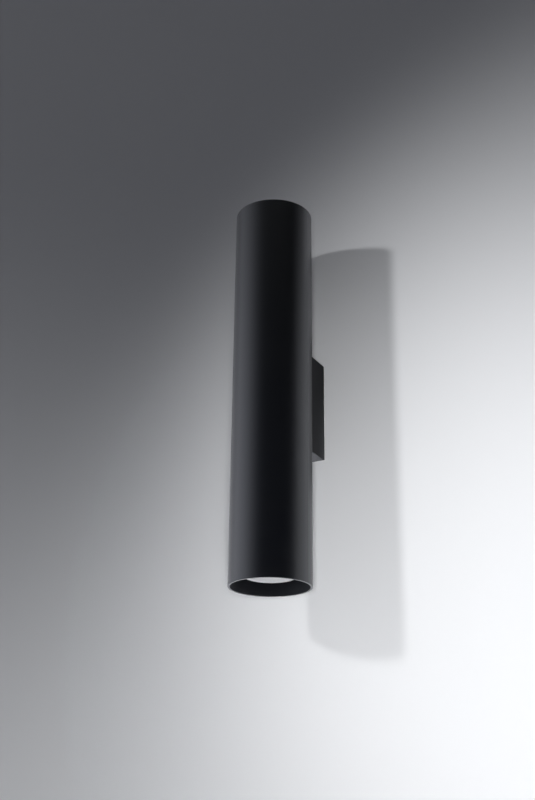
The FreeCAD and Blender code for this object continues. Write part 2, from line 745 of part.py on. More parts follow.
def bulging_arc(start, end):
    """A gentle arc between two (radius, height) points that bows away from the axis."""
    span = math.hypot(end[0] - start[0], end[1] - start[1])
    bulge = span * shell_bulge_share
    across = ((end[1] - start[1]) / span, (start[0] - end[0]) / span)
    middle_r = (start[0] + end[0]) / 2 + bulge * abs(across[0])
    middle_h = (start[1] + end[1]) / 2 + bulge * abs(across[1])
    first, last = Vector(start[0], 0, start[1]), Vector(end[0], 0, end[1])
    return Part.Arc(first, Vector(middle_r, 0, middle_h), last).toShape()


def bulb_shell():
    """The bowl from the face's rim to the neck, with a step for the lens and a ledge for the board."""
    rim = BULB_DIAMETER / 2
    lens_r = rim - SHELL_WALL
    step_r = lens_r - LENS_STEP
    lens_back = LENS_SINK + LENS_THICKNESS
    board_back = BOARD_DEPTH + BOARD_THICKNESS
    ledge_back = board_back + SHELL_WALL
    ledge_r = step_r - BOARD_LEDGE_WIDTH
    neck_inner = neck_radius - SHELL_WALL
    front = [
        (rim, BULB_RIM_HEIGHT),
        (rim, BULB_FACE_EDGE),
        (rim - BULB_FACE_EDGE, 0),
        (lens_r, 0),
        (lens_r, lens_back),
        (step_r, lens_back),
        (step_r, board_back),
        (ledge_r, board_back),
        (ledge_r, ledge_back),
        (step_r, ledge_back),
    ]
    edges = [outline_edge(start, end) for start, end in zip(front, front[1:])]
    edges.append(bulging_arc((step_r, ledge_back), (neck_inner, SHELL_LENGTH)))
    edges.append(outline_edge((neck_inner, SHELL_LENGTH), (neck_radius, SHELL_LENGTH)))
    edges.append(bulging_arc((neck_radius, SHELL_LENGTH), (rim, BULB_RIM_HEIGHT)))
    return Part.Face(Part.Wire(edges)).revolve(Vector(), Z_AXIS, 360)


def bulb_lens():
    radius = BULB_DIAMETER / 2 - SHELL_WALL - FIT_GAP
    return Part.makeCylinder(radius, LENS_THICKNESS, Vector(0, 0, LENS_SINK))


def bulb_led_board():
    radius = BULB_DIAMETER / 2 - SHELL_WALL - LENS_STEP - FIT_GAP
    board = Part.makeCylinder(radius, BOARD_THICKNESS, Vector(0, 0, BOARD_DEPTH))
    chips = []
    half = CHIP_SIDE / 2
    for number in range(CHIP_COUNT):
        chip = box(Vector(-half, -half, BOARD_DEPTH - CHIP_HEIGHT), Vector(half, half, BOARD_DEPTH))
        chip.translate(Vector(CHIP_CIRCLE_DIAMETER / 2, 0, 0))
        chip.rotate(Vector(), Z_AXIS, 360 * number / CHIP_COUNT)
        chips.append(chip)
    return board.fuse(chips).removeSplitter()


def pin_xs():
    return (-PIN_SPACING / 2, PIN_SPACING / 2)


def bulb_base():
    """The insulating cup that closes the neck and holds both pins."""
    outer = BASE_DIAMETER / 2
    inner = outer - BASE_WALL
    spigot = neck_radius - SHELL_WALL - FIT_GAP
    mouth = SHELL_LENGTH - BASE_SPIGOT_LENGTH
    floor = BULB_LENGTH - BASE_END_THICKNESS
    outline = [
        (0, floor),
        (inner, floor),
        (inner, mouth),
        (spigot, mouth),
        (spigot, SHELL_LENGTH),
        (neck_radius, SHELL_LENGTH),
        (neck_radius, SHELL_LENGTH + BASE_FLANGE_THICKNESS),
        (outer, SHELL_LENGTH + BASE_FLANGE_THICKNESS),
        (outer, BULB_LENGTH - BASE_BEVEL),
        (outer - BASE_BEVEL, BULB_LENGTH),
        (0, BULB_LENGTH),
    ]
    cup = turned(outline, Vector(), Z_AXIS)
    holes = []
    for x in pin_xs():
        holes.append(post(PIN_DIAMETER + FIT_GAP, x, 0, floor - OVERRUN, BULB_LENGTH + OVERRUN))
    return cup.cut(holes)


def bulb_pins():
    shank, head = PIN_DIAMETER / 2, PIN_HEAD_DIAMETER / 2
    tail = BULB_LENGTH - BASE_END_THICKNESS - PIN_TAIL
    tip = BULB_LENGTH + PIN_LENGTH
    outline = [
        (0, tail),
        (shank, tail),
        (shank, tip - PIN_HEAD_HEIGHT),
        (head, tip - PIN_HEAD_HEIGHT),
        (head, tip - PIN_HEAD_EDGE),
        (head - PIN_HEAD_EDGE, tip),
        (0, tip),
    ]
    return group([turned(outline, Vector(x, 0, 0), Z_AXIS) for x in pin_xs()])


def bulb_driver():
    """The upright circuit board between the diode board and the pins, with its larger parts."""
    half_x = BASE_DIAMETER / 2 - BASE_WALL - DRIVER_EDGE_GAP
    half_y = DRIVER_THICKNESS / 2
    start = BOARD_DEPTH + BOARD_THICKNESS
    end = BULB_LENGTH - BASE_END_THICKNESS - PIN_TAIL
    board = box(Vector(-half_x, -half_y, start), Vector(half_x, half_y, end))
    can_low = Vector(0, half_y + CAPACITOR_DIAMETER / 2 - FIT_GAP, start + CAPACITOR_SETBACK)
    can = rod(CAPACITOR_DIAMETER, can_low, can_low + Z_AXIS * CAPACITOR_LENGTH)
    coil_z = end - COIL_END_GAP - COIL_SIDE
    coil_x = COIL_SIDE / 2
    coil = box(Vector(-coil_x, half_y, coil_z), Vector(coil_x, half_y + COIL_HEIGHT, coil_z + COIL_SIDE))
    bridge_x = BRIDGE_WIDTH / 2
    bridge_y = -half_y - BRIDGE_THICKNESS
    bridge = box(Vector(-bridge_x, bridge_y, coil_z), Vector(bridge_x, -half_y, coil_z + BRIDGE_LENGTH))
    return board.fuse([can, coil, bridge]).removeSplitter()


def rounded_path(points, name):
    """Straight runs joined by tangent arcs, each as large as its two runs allow."""
    edges = []
    start = points[0]
    radii = []
    for before, corner, after in zip(points, points[1:], points[2:]):
        back, ahead = before - corner, after - corner
        half_turn = (math.pi - back.getAngle(ahead)) / 2
        trim = bend_share * min(back.Length, ahead.Length)
        back.normalize()
        ahead.normalize()
        radius = trim / math.tan(half_turn)
        radii.append(round(radius, 1))
        inward = back + ahead
        inward.normalize()
        middle = corner + inward * (radius / math.cos(half_turn) - radius)
        first, last = corner + back * trim, corner + ahead * trim
        edges.append(Part.LineSegment(start, first).toShape())
        edges.append(Part.Arc(first, middle, last).toShape())
        start = last
    edges.append(Part.LineSegment(start, points[-1]).toShape())
    path = Part.Wire(edges)
    print(name, "length", round(path.Length, 1), "radii", radii)
    return path


def lead(points, name):
    """An insulated lead along its route, checked against its section times its length."""
    path = rounded_path(points, name)
    ring = Part.Circle(points[0], points[1] - points[0], LEAD_DIAMETER / 2).toShape()
    solid = path.makePipeShell([Part.Wire([ring])], True, False)
    section = math.pi * (LEAD_DIAMETER / 2) ** 2
    print(name, "volume ratio", round(solid.Volume / (section * path.Length), 4))
    return solid


def bare_end(start, direction):
    return rod(CORE_DIAMETER, start, start + direction * CORE_LENGTH)


def socket_lead(end, side):
    """From a contact in the lampholder, along the rail, through the grommet, to the terminal block."""
    pole_x = pole_xs["live"] if side == LIVE else pole_xs["neutral"]
    stacked_y = clamp_axis_y - end * lead_stack
    socket_x = side * holder_lead_x
    rail_x = side * lead_rail_x
    gate_x = side * lead_gate
    turn_y = lead_rail_y - LEAD_APPROACH
    leave_z = tube_screw_z - LEAD_LEAVE_DROP
    points = [
        Vector(socket_x, axis_y, end * (face_z - contact_tail_level)),
        Vector(socket_x, axis_y, end * (rail_end_z - LEAD_SOCKET_RUN)),
        Vector(rail_x, lead_rail_y, end * (rail_end_z - LEAD_SOCKET_RUN - LEAD_CROSS_RUN)),
        Vector(rail_x, lead_rail_y, end * leave_z),
        Vector(gate_x, turn_y, end * (leave_z - LEAD_TURN_DROP)),
        Vector(gate_x, turn_y, end * lead_gate),
        Vector(gate_x, stacked_y, end * lead_gate),
        Vector(pole_x, stacked_y, clamp_low_z - LEAD_ENTRY_RUN),
        Vector(pole_x, stacked_y, clamp_low_z),
    ]
    name = END_NAMES[end] + ("_live_lead" if side == LIVE else "_neutral_lead")
    return lead(points, name).fuse(bare_end(points[-1], Z_AXIS)).removeSplitter()


def earth_lead():
    """From the earth pole, down beside the grommet, to the ring terminal on the lower tube screw."""
    centre_y, start_z, end_z = barrel_place()
    x = pole_xs["earth"]
    middle_y = (clamp_axis_y + centre_y) / 2
    points = [
        Vector(x, clamp_axis_y, clamp_low_z),
        Vector(x, clamp_axis_y, clamp_low_z - 3 * LEAD_ENTRY_RUN),
        Vector(x + EARTH_SWING, middle_y, -LEAD_SOCKET_RUN),
        Vector(0, centre_y, end_z + LEAD_ENTRY_RUN),
        Vector(0, centre_y, start_z + BARREL_WALL),
    ]
    return lead(points, "earth_lead").fuse(bare_end(points[0], Z_AXIS)).removeSplitter()


def lead_clips():
    """Two saddles on the rail, each over one pair of leads, with a stud through the rail."""
    groove = LEAD_DIAMETER + 2 * FIT_GAP
    half_x = lead_rail_x + groove / 2 + CLIP_SIDE_WALL
    front_y = lead_rail_y - groove / 2 - CLIP_COVER
    half_z = CLIP_LENGTH / 2
    clips = []
    for z in (-clip_z, clip_z):
        low_z, high_z = z - half_z, z + half_z
        saddle = box(Vector(-half_x, front_y, low_z), Vector(half_x, rail_front_y, high_z))
        stud = spindle(CLIP_STUD_DIAMETER, 0, z, rail_front_y, rail_back_y)
        lip = spindle(CLIP_STUD_DIAMETER + CLIP_LIP, 0, z, rail_back_y, rail_back_y + CLIP_LIP)
        saddle = saddle.fuse([stud, lip])
        low_z, high_z = low_z - OVERRUN, high_z + OVERRUN
        cuts = []
        for x in (-lead_rail_x, lead_rail_x):
            low = Vector(x - groove / 2, lead_rail_y, low_z)
            cuts.append(post(groove, x, lead_rail_y, low_z, high_z))
            cuts.append(box(low, Vector(x + groove / 2, rail_front_y, high_z)))
        clips.append(saddle.cut(cuts).removeSplitter())
    return group(clips)


def write(name, shape):
    if not shape.isValid():
        print("not valid:", name)
    print(name, "solids", len(shape.Solids), "volume", round(shape.Volume, 1))
    shape.exportStep("parts/" + name + ".step")


def main():
    os.makedirs("parts", exist_ok=True)
    write("body_tube", body_tube())
    write("wall_box", wall_box())
    write("wall_plate", wall_plate())
    write("box_screws", box_screws())
    write("tube_screws", tube_screws())
    write("tube_screw_washers", tube_screw_washers())
    write("earth_ring_terminal", earth_ring_terminal())
    write("socket_rail", socket_rail())
    write("clinch_nuts", clinch_nuts())
    write("cable_grommet", cable_grommet())
    write("terminal_block", terminal_block())
    write("terminal_clamps", terminal_clamps())
    write("terminal_clamp_screws", terminal_clamp_screws())
    write("terminal_fixing_screws", terminal_fixing_screws())
    write("lead_clips", lead_clips())
    write("earth_lead", earth_lead())
    for end, end_name in END_NAMES.items():
        for piece in (lampholder, holder_cap, contacts, holder_screws):
            write(end_name + "_" + piece.__name__, at_end(piece(), end))
        for piece in (bulb_shell, bulb_lens, bulb_led_board, bulb_driver, bulb_base, bulb_pins):
            write(end_name + "_" + piece.__name__, at_end(piece(), end))
        write(end_name + "_live_lead", socket_lead(end, LIVE))
        write(end_name + "_neutral_lead", socket_lead(end, NEUTRAL))


main()
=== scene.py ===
import json
import math

import bpy
from mathutils import Matrix, Vector


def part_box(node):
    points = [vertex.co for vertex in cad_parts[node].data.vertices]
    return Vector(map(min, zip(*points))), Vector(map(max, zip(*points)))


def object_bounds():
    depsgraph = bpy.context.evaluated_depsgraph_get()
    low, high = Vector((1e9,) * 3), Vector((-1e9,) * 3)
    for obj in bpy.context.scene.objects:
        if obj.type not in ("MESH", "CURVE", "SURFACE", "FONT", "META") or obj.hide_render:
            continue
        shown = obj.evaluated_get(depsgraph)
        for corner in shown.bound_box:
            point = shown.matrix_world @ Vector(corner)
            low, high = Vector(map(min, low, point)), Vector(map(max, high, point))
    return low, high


# The looks of a wall lamp: a matt black tube, open at both ends, on a small wall box. Metres, in the frame of
# the CAD model: +Z is up, the wall is the plane y = 0 and the lamp is in front of it, at -Y.
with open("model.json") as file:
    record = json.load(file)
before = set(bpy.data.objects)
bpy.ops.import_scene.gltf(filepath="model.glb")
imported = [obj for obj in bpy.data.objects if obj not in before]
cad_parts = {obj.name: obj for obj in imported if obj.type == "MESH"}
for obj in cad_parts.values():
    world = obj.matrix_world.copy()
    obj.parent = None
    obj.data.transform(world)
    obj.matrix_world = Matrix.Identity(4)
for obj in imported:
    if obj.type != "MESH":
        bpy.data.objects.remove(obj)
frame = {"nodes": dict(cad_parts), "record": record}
cad_low, cad_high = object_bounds()

MM = 0.001

# Camera: fitted to the outline of the tube, its rims, the bulb's face and the box
CAMERA_PLACE = Vector((0.494318, -0.998771, -0.447459))
CAMERA_YAW = math.radians(28.4035)
CAMERA_PITCH = math.radians(22.6752)
CAMERA_ROLL = math.radians(0.6957)
CAMERA_LENS = 51.0146
SENSOR_WIDTH = 36.0
MATRIX_SIDE = 4

# Materials: a pattern has its grain and its number of finer layers, a relief has its depth and its strength,
# and a look has its dark colour, its light colour and the lowest and highest roughness.
METAL = 1.0
EVEN = (1.0, 1.0, 1.0)
ACROSS = (1.0, 1.0, 0.0)
NOISE_MIDDLE = (0.25, 0.75)

# Powder coat, and the rougher coat on the tube's inner face. The tube's wall is as in the CAD model, and the
# inner coat ends on the bore's rounded edge, between two distances outside the bore.
COAT_COLOURS = ((0.0030, 0.0034, 0.0050), (0.0042, 0.0046, 0.0062))
COAT_TINT = (0.94, 0.96, 1.0)
COAT_BLOOM = (38 * MM, 3.0)
COAT_PEEL = (2.4 * MM, 1.0)
COAT_PEEL_RELIEF = (0.05 * MM, 0.7)
COAT_GRAINS = (0.45 * MM, 2.0)
COAT_GRAINS_RELIEF = (0.02 * MM, 0.6)
TUBE_COAT = (*COAT_COLOURS, 0.29, 0.41)
TUBE_COAT_INDEX = 1.58
BOX_COAT = (*COAT_COLOURS, 0.26, 0.38)
BOX_COAT_INDEX = 1.45
TUBE_WALL = 2.0 * MM
INNER_COAT_END = (0.1 * MM, 0.3 * MM)
INNER_ROUGHNESS = 0.70

# Zinc plate, brushed along the lamp's height
ZINC = ((0.50, 0.52, 0.56), (0.66, 0.67, 0.69), 0.30, 0.46)
ZINC_MOTTLE = (6 * MM, 4.0)
ZINC_BRUSH = (0.5 * MM, 2.0)
ZINC_BRUSH_STRETCH = (1.0, 1.0, 0.06)
ZINC_RELIEF = (0.02 * MM, 0.3)

# Small plated or drawn metal parts, by their material slots
PLATED_MOTTLE = (1.6 * MM, 3.0)
PLATED_GRAINS = (0.5 * MM, 2.0)
PLATED_RELIEF = (0.02 * MM, 0.25)
STEEL = ((0.52, 0.52, 0.52), (0.66, 0.66, 0.65), 0.24, 0.36)
PLATED_LOOKS = {
    "black_screw": ((0.018, 0.018, 0.020), (0.03, 0.03, 0.032), 0.34, 0.44),
    "screw_steel": STEEL,
    "washer_steel": STEEL,
    "nut_steel": STEEL,
    "tinned_copper": ((0.62, 0.61, 0.58), (0.76, 0.75, 0.72), 0.30, 0.42),
    "clamp_brass": ((0.66, 0.48, 0.22), (0.80, 0.62, 0.32), 0.26, 0.38),
    "contact_bronze": ((0.60, 0.40, 0.24), (0.74, 0.53, 0.33), 0.28, 0.40),
    "pin_nickel": ((0.56, 0.55, 0.51), (0.70, 0.69, 0.65), 0.20, 0.32),
}

# Moulded, fired or cast parts that aren't metal, by their material slots
MOULDED_CLOUD = (5 * MM, 3.0)
MOULDED_SKIN = (0.4 * MM, 2.0)
MOULDED_RELIEF = (0.015 * MM, 0.3)
NYLON = ((0.72, 0.71, 0.66), (0.82, 0.81, 0.77), 0.40, 0.50)
MOULDED_LOOKS = {
    "grommet_rubber": ((0.014, 0.014, 0.014), (0.024, 0.024, 0.024), 0.60, 0.72),
    "block_nylon": NYLON,
    "clip_nylon": NYLON,
    "socket_ceramic": ((0.70, 0.68, 0.62), (0.80, 0.78, 0.73), 0.50, 0.62),
    "live_insulation": ((0.13, 0.05, 0.02), (0.18, 0.07, 0.03), 0.42, 0.52),
    "neutral_insulation": ((0.025, 0.09, 0.38), (0.035, 0.11, 0.45), 0.42, 0.52),
    "bulb_plastic": ((0.66, 0.66, 0.66), (0.74, 0.74, 0.74), 0.38, 0.48),
    "bulb_base_plastic": ((0.62, 0.62, 0.61), (0.70, 0.70, 0.69), 0.40, 0.50),
    "board_white": ((0.72, 0.73, 0.73), (0.80, 0.81, 0.81), 0.34, 0.44),
    "driver_green": ((0.02, 0.15, 0.06), (0.04, 0.24, 0.10), 0.30, 0.42),
}

# The earth lead's insulation. The edge of its stripe is given as the sideways part of the surface's normal.
EARTH_GROUND = (0.12, 0.40, 0.06)
EARTH_STRIPE = (0.78, 0.66, 0.06)
EARTH_ROUGHNESS = (0.42, 0.52)
STRIPE_EDGE = (0.42, 0.50)

# The bulb's frosted face
FROSTED = ((0.85, 0.84, 0.86), (0.89, 0.88, 0.90), 0.50, 0.60)
FROSTED_CLOUD = (14 * MM, 2.0)
FROSTED_GRAIN = (0.35 * MM, 2.0)
FROSTED_RELIEF = (0.02 * MM, 0.4)

# A colour mix node shares its sockets' names with other kinds of mix, so they are taken by their numbers
MIX_COLOURS = (6, 7)
MIX_RESULT = 2

# Stage
WALL_REACH = 6.0
WALL_SETBACK = 0.1 * MM
WALL_RIM_OVERLAP = 0.75 * MM
WALL_COLOUR = (0.82, 0.83, 0.85)
WALL_ROUGHNESS = 0.85
WALL_GRAIN = (3 * MM, 3.0)
WALL_RELIEF = (0.05 * MM, 0.3)
FLOOR_DROP = 1.8
FLOOR_REACH = 12.0
FLOOR_COLOUR = (0.80, 0.81, 0.82)
FLOOR_ROUGHNESS = 0.7
FLOOR_GRAIN = (5 * MM, 3.0)
FLOOR_RELIEF = (0.1 * MM, 0.3)
FLOOR_GLOW = 0.85
PALE_SKY = (0.80, 0.81, 0.83)
ROOM_LIGHT = (0.068, 0.069, 0.076)

# A half-round screen before the lamp, seen in reflections alone: bright on the left, and dark in front and on
# the right. It fades towards its top.
GLOW_COLOUR = (0.90, 0.92, 1.0)
SCREEN_COLOUR = (0.0, 0.0, 0.0)
SCREEN_ROUGHNESS = 1.0
SCREEN_RADIUS = 2.4
SCREEN_TOP = 2.6
SCREEN_STEPS = 36
SCREEN_BRIGHT_SHARE = 0.76
SCREEN_BRIGHT = 1.72
SCREEN_CURVE = 1.5
SCREEN_FADE = (2.4, 0.45)

# Painted reflections: besides its paint, the wall glows for gloss alone, with a bright left side, a band on
# the right and a patch behind the tube. Each rises and ends between two places along X or Z.
WALL_LEFT_GLOW = 0.75
WALL_LEFT_RAMP = (-0.06, -0.30)
WALL_LEFT_FADE = (0.55, -0.15)
WALL_RIGHT_GLOW = 0.34
WALL_RIGHT_RAMP = (0.035, 0.08)
WALL_RIGHT_FADE = (0.17, 0.09)
WALL_BACK_GLOW = 0.80
WALL_BACK_RAMP = (0.02, -0.06)
WALL_BACK_END = (-0.36, -0.28)
WALL_BACK_LEFT = (-0.16, -0.10)
WALL_BACK_RIGHT = (0.03, 0.01)

# Painted shade: gloss mirrors the wall beside the box darker than it is
WALL_SHADE = 0.35
WALL_SHADE_SIDE = (0.075, 0.045)
WALL_SHADE_END = (0.10, 0.07)

# Light: the key's place is fitted to the shadow on the wall, the cones and powers to the wall's gradient
KEY_SPOT = {
    "place": Vector((-1.0569, -1.6225, 0.6228)),
    "target": Vector((0.580, 0.0, -0.185)),
    "power": 87.0,
    "shadow_soft_size": 0.09,
    "spot_size": math.radians(33.1),
    "spot_blend": 0.98,
}
EYE_SPOT = {
    "place": CAMERA_PLACE,
    "target": Vector((0.255, 0.0, -0.273)),
    "power": 37.6,
    "shadow_soft_size": 0.08,
    "spot_size": math.radians(56.0),
    "spot_blend": 1.0,
}
LOW_BOX = {
    "place": Vector((0.64, -1.37, -1.105)),
    "target": Vector((-0.37, 0.0, -0.49)),
    "power": 0.78,
    "shape": "SQUARE",
    "size": 0.60,
    "spread": math.radians(32.5),
}


def opaque(colour):
    return (*colour, 1.0)


class Nodes:
    """A node tree under construction."""

    def __init__(self, tree):
        self.tree = tree

    def add(self, kind, **settings):
        node = self.tree.nodes.new(kind)
        for name, value in settings.items():
            setattr(node, name, value)
        return node

    def join(self, source, target):
        self.tree.links.new(source, target)

    def calculate(self, operation, *terms):
        """The result of a math node. Each term is a socket or a number."""
        node = self.add("ShaderNodeMath", operation=operation)
        for socket, term in zip(node.inputs, terms):
            if isinstance(term, float):
                socket.default_value = term
            else:
                self.join(term, socket)
        return node.outputs["Value"]

    def product(self, *factors):
        total = factors[0]
        for factor in factors[1:]:
            total = self.calculate("MULTIPLY", total, factor)
        return total

    def seen(self):
        """1 where the camera, a reflection or a pane looks at it, and 0 for the light that it gives."""
        path = self.add("ShaderNodeLightPath").outputs
        looked_at = self.calculate("MAXIMUM", path["Is Camera Ray"], path["Is Glossy Ray"])
        return self.calculate("MAXIMUM", looked_at, path["Is Transmission Ray"])

    def choose(self, factor, first, second, output):
        """The output shows the first shader where the factor is 0 and the second one where it is 1."""
        choice = self.add("ShaderNodeMixShader")
        for socket, source in zip(choice.inputs, (factor, first, second)):
            self.join(source, socket)
        self.join(choice.outputs["Shader"], self.tree.nodes[output].inputs["Surface"])


class Surface(Nodes):
    """A procedural material under construction, in object coordinates, which are metres."""

    def __init__(self, name, colour, roughness, metallic=0.0):
        self.material = bpy.data.materials.new(name)
        self.material.use_nodes = True
        super().__init__(self.material.node_tree)
        self.shader = self.tree.nodes["Principled BSDF"]
        self.set("Base Color", opaque(colour))
        self.set("Roughness", roughness)
        self.set("Metallic", metallic)
        self.place = self.add("ShaderNodeTexCoord").outputs["Object"]

    def set(self, socket, value):
        self.shader.inputs[socket].default_value = value

    def drive(self, socket, source):
        self.join(source, self.shader.inputs[socket])

    def split(self, vector):
        """The X, Y and Z of a vector."""
        node = self.add("ShaderNodeSeparateXYZ")
        self.join(vector, node.inputs["Vector"])
        return node.outputs

    def stretched(self, stretch):
        """Object coordinates scaled along each axis, to draw a pattern out along a direction."""
        mapping = self.add("ShaderNodeMapping")
        mapping.inputs["Scale"].default_value = stretch
        self.join(self.place, mapping.inputs["Vector"])
        return mapping.outputs["Vector"]

    def noise(self, grain, layers, stretch=EVEN):
        """Soft noise whose blotches are about one grain across, as a value from 0 to 1."""
        node = self.add("ShaderNodeTexNoise")
        node.inputs["Scale"].default_value = 1 / grain
        node.inputs["Detail"].default_value = layers
        self.join(self.stretched(stretch), node.inputs["Vector"])
        return node.outputs["Fac"]

    def ramp(self, value, start, end, low=0.0, high=1.0):
        """A value that goes from low to high while the given one goes from start to end."""
        node = self.add("ShaderNodeMapRange")
        for name, number in zip(("From Min", "From Max", "To Min", "To Max"), (start, end, low, high)):
            node.inputs[name].default_value = number
        self.join(value, node.inputs["Value"])
        return node.outputs["Result"]

    def window(self, *sides):
        """1 inside all the sides and 0 outside any. A side is a value and where along it the window opens."""
        return self.product(*[self.ramp(value, *span) for value, span in sides])

    def spread(self, noise, low, high):
        """Noise spread over low to high. Its middle half is taken as its range."""
        return self.ramp(noise, *NOISE_MIDDLE, low, high)

    def blend(self, factor, first, second):
        """One colour turning into another as the factor goes from 0 to 1."""
        node = self.add("ShaderNodeMix", data_type="RGBA")
        self.join(factor, node.inputs["Factor"])
        for number, colour in zip(MIX_COLOURS, (first, second)):
            node.inputs[number].default_value = opaque(colour)
        return node.outputs[MIX_RESULT]

    def vary(self, look, tones, grains):
        """The colour follows one pattern and the roughness another."""
        dark, light, low, high = look
        self.drive("Base Color", self.blend(self.spread(tones, 0, 1), dark, light))
        self.drive("Roughness", self.spread(grains, low, high))

    def bump(self, height, depth, strength):
        """Relief of this depth from a height value, on top of the relief that the surface has already."""
        node = self.add("ShaderNodeBump")
        node.inputs["Strength"].default_value = strength
        node.inputs["Distance"].default_value = depth
        self.join(height, node.inputs["Height"])
        previous = self.shader.inputs["Normal"].links
        if previous:
            self.join(previous[0].from_socket, node.inputs["Normal"])
        self.drive("Normal", node.outputs["Normal"])


def plain_surface(name, look, metallic=0.0):
    """A surface with a look's light colour and middle roughness, until patterns vary them."""
    _, light, low, high = look
    return Surface(name, light, (low + high) / 2, metallic)


def powder_coat(name, look, index):
    """Matt black powder coat: faint orange peel, fine grains, and a lighter bloom in soft patches."""
    coat = plain_surface(name, look)
    coat.set("IOR", index)
    coat.set("Specular Tint", opaque(COAT_TINT))
    grains = coat.noise(*COAT_GRAINS)
    coat.vary(look, coat.noise(*COAT_BLOOM), grains)
    coat.bump(coat.noise(*COAT_PEEL), *COAT_PEEL_RELIEF)
    coat.bump(grains, *COAT_GRAINS_RELIEF)
    return coat


def tube_coat(name, look, index):
    """Powder coat that lies thin and rough on the tube's inner face."""
    coat = powder_coat(name, look, index)
    outer = coat.shader.inputs["Roughness"].links[0].from_socket
    low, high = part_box("body_tube")
    middle = (low + high) / 2
    bore_radius = (high.x - low.x) / 2 - TUBE_WALL
    distance = coat.add("ShaderNodeVectorMath", operation="DISTANCE")
    coat.join(coat.stretched(ACROSS), distance.inputs[0])
    distance.inputs[1].default_value = (middle.x, middle.y, 0.0)
    change = [bore_radius + offset for offset in INNER_COAT_END]
    inner = coat.ramp(distance.outputs["Value"], *change, INNER_ROUGHNESS, 0.0)
    coat.drive("Roughness", coat.calculate("MAXIMUM", outer, inner))
    return coat


def zinc(name):
    """Zinc plate on steel: pale grey metal with soft mottling."""
    metal = plain_surface(name, ZINC, METAL)
    brush = metal.noise(*ZINC_BRUSH, ZINC_BRUSH_STRETCH)
    metal.vary(ZINC, metal.noise(*ZINC_MOTTLE), brush)
    metal.bump(brush, *ZINC_RELIEF)
    return metal


def plated(name, look):
    """A small plated or drawn metal part."""
    metal = plain_surface(name, look, METAL)
    mottle = metal.noise(*PLATED_MOTTLE)
    metal.vary(look, mottle, metal.noise(*PLATED_GRAINS))
    metal.bump(mottle, *PLATED_RELIEF)
    return metal


def moulded(name, look):
    """A moulded, fired or cast part that isn't metal, with a faint skin texture."""
    body = plain_surface(name, look)
    skin = body.noise(*MOULDED_SKIN)
    body.vary(look, body.noise(*MOULDED_CLOUD), skin)
    body.bump(skin, *MOULDED_RELIEF)
    return body


def striped_insulation(name, ground, stripe, roughness):
    """Insulation with a stripe down two opposite sides."""
    body = moulded(name, (ground, ground, *roughness))
    normal = body.add("ShaderNodeTexCoord").outputs["Normal"]
    sideways = body.calculate("ABSOLUTE", body.split(normal)["X"])
    body.drive("Base Color", body.blend(body.ramp(sideways, *STRIPE_EDGE), stripe, ground))
    return body


def frosted(name):
    """The bulb's frosted face: milky, evenly lit, with the finest grain."""
    face = plain_surface(name, FROSTED)
    grain = face.noise(*FROSTED_GRAIN)
    face.vary(FROSTED, face.noise(*FROSTED_CLOUD), grain)
    face.bump(grain, *FROSTED_RELIEF)
    return face


def make_materials():
    """One material for each slot of the record."""
    earth = (EARTH_GROUND, EARTH_STRIPE, EARTH_ROUGHNESS)
    surfaces = {
        "tube_coat": tube_coat("tube_coat_look", TUBE_COAT, TUBE_COAT_INDEX),
        "box_coat": powder_coat("box_coat_look", BOX_COAT, BOX_COAT_INDEX),
        "plate_zinc": zinc("plate_zinc_look"),
        "rail_zinc": zinc("rail_zinc_look"),
        "earth_insulation": striped_insulation("earth_insulation_look", *earth),
        "bulb_frosted": frosted("bulb_frosted_look"),
    }
    for make, looks in ((plated, PLATED_LOOKS), (moulded, MOULDED_LOOKS)):
        for slot, look in looks.items():
            surfaces[slot] = make(slot + "_look", look)
    return surfaces


def dress(surfaces):
    """Every node of the lamp gets its slot's material."""
    slots = {row["node"]: row["material_slot"] for row in frame["record"]["subparts"]}
    for name, node in frame["nodes"].items():
        for place in node.material_slots:
            place.material = surfaces[slots[name]].material


def sheet(name, corners, faces, material):
    """A flat or bent sheet of the stage."""
    mesh = bpy.data.meshes.new(name)
    mesh.from_pydata(corners, [], faces)
    mesh.update()
    mesh.materials.append(material)
    piece = bpy.data.objects.new(name, mesh)
    bpy.context.scene.collection.objects.link(piece)
    return piece


def rectangle(half_width, half_height):
    return [
        (-half_width, -half_height),
        (half_width, -half_height),
        (half_width, half_height),
        (-half_width, half_height),
    ]


def make_wall():
    """A wall with a hole behind the box, so that the lamp's back isn't covered from behind."""
    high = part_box("wall_box")[1]
    inner = rectangle(high.x - WALL_RIM_OVERLAP, high.z - WALL_RIM_OVERLAP)
    outer = rectangle(WALL_REACH / 2, WALL_REACH / 2)
    corners = [(x, WALL_SETBACK, z) for x, z in outer + inner]
    count = len(outer)
    after = [(side + 1) % count for side in range(count)]
    faces = [(side, after[side], count + after[side], count + side) for side in range(count)]
    sheet("stage_wall", corners, faces, wall_paint())


def wall_paint():
    """Matt paint with a faint roller texture. From behind, the wall isn't seen."""
    paint = Surface("stage_wall_paint", WALL_COLOUR, WALL_ROUGHNESS)
    paint.bump(paint.noise(*WALL_GRAIN), *WALL_RELIEF)
    path = paint.add("ShaderNodeLightPath").outputs
    place = paint.split(paint.place)
    shade = wall_shade(paint, place["X"], place["Z"])
    glow = wall_glow(paint, place["X"], place["Z"])
    # Painted shade: gloss sees the wall beside the box darker than its paint
    dark = [WALL_SHADE * part for part in WALL_COLOUR]
    paint.drive("Base Color", paint.blend(paint.product(shade, path["Is Glossy Ray"]), WALL_COLOUR, dark))
    # Painted reflections: the wall glows for gloss alone
    paint.set("Emission Color", opaque(GLOW_COLOUR))
    paint.drive("Emission Strength", paint.product(glow, path["Is Glossy Ray"]))
    clear = paint.add("ShaderNodeBsdfTransparent").outputs["BSDF"]
    backfacing = paint.add("ShaderNodeNewGeometry").outputs["Backfacing"]
    behind = paint.product(backfacing, path["Is Camera Ray"])
    paint.choose(behind, paint.shader.outputs["BSDF"], clear, "Material Output")
    return paint.material


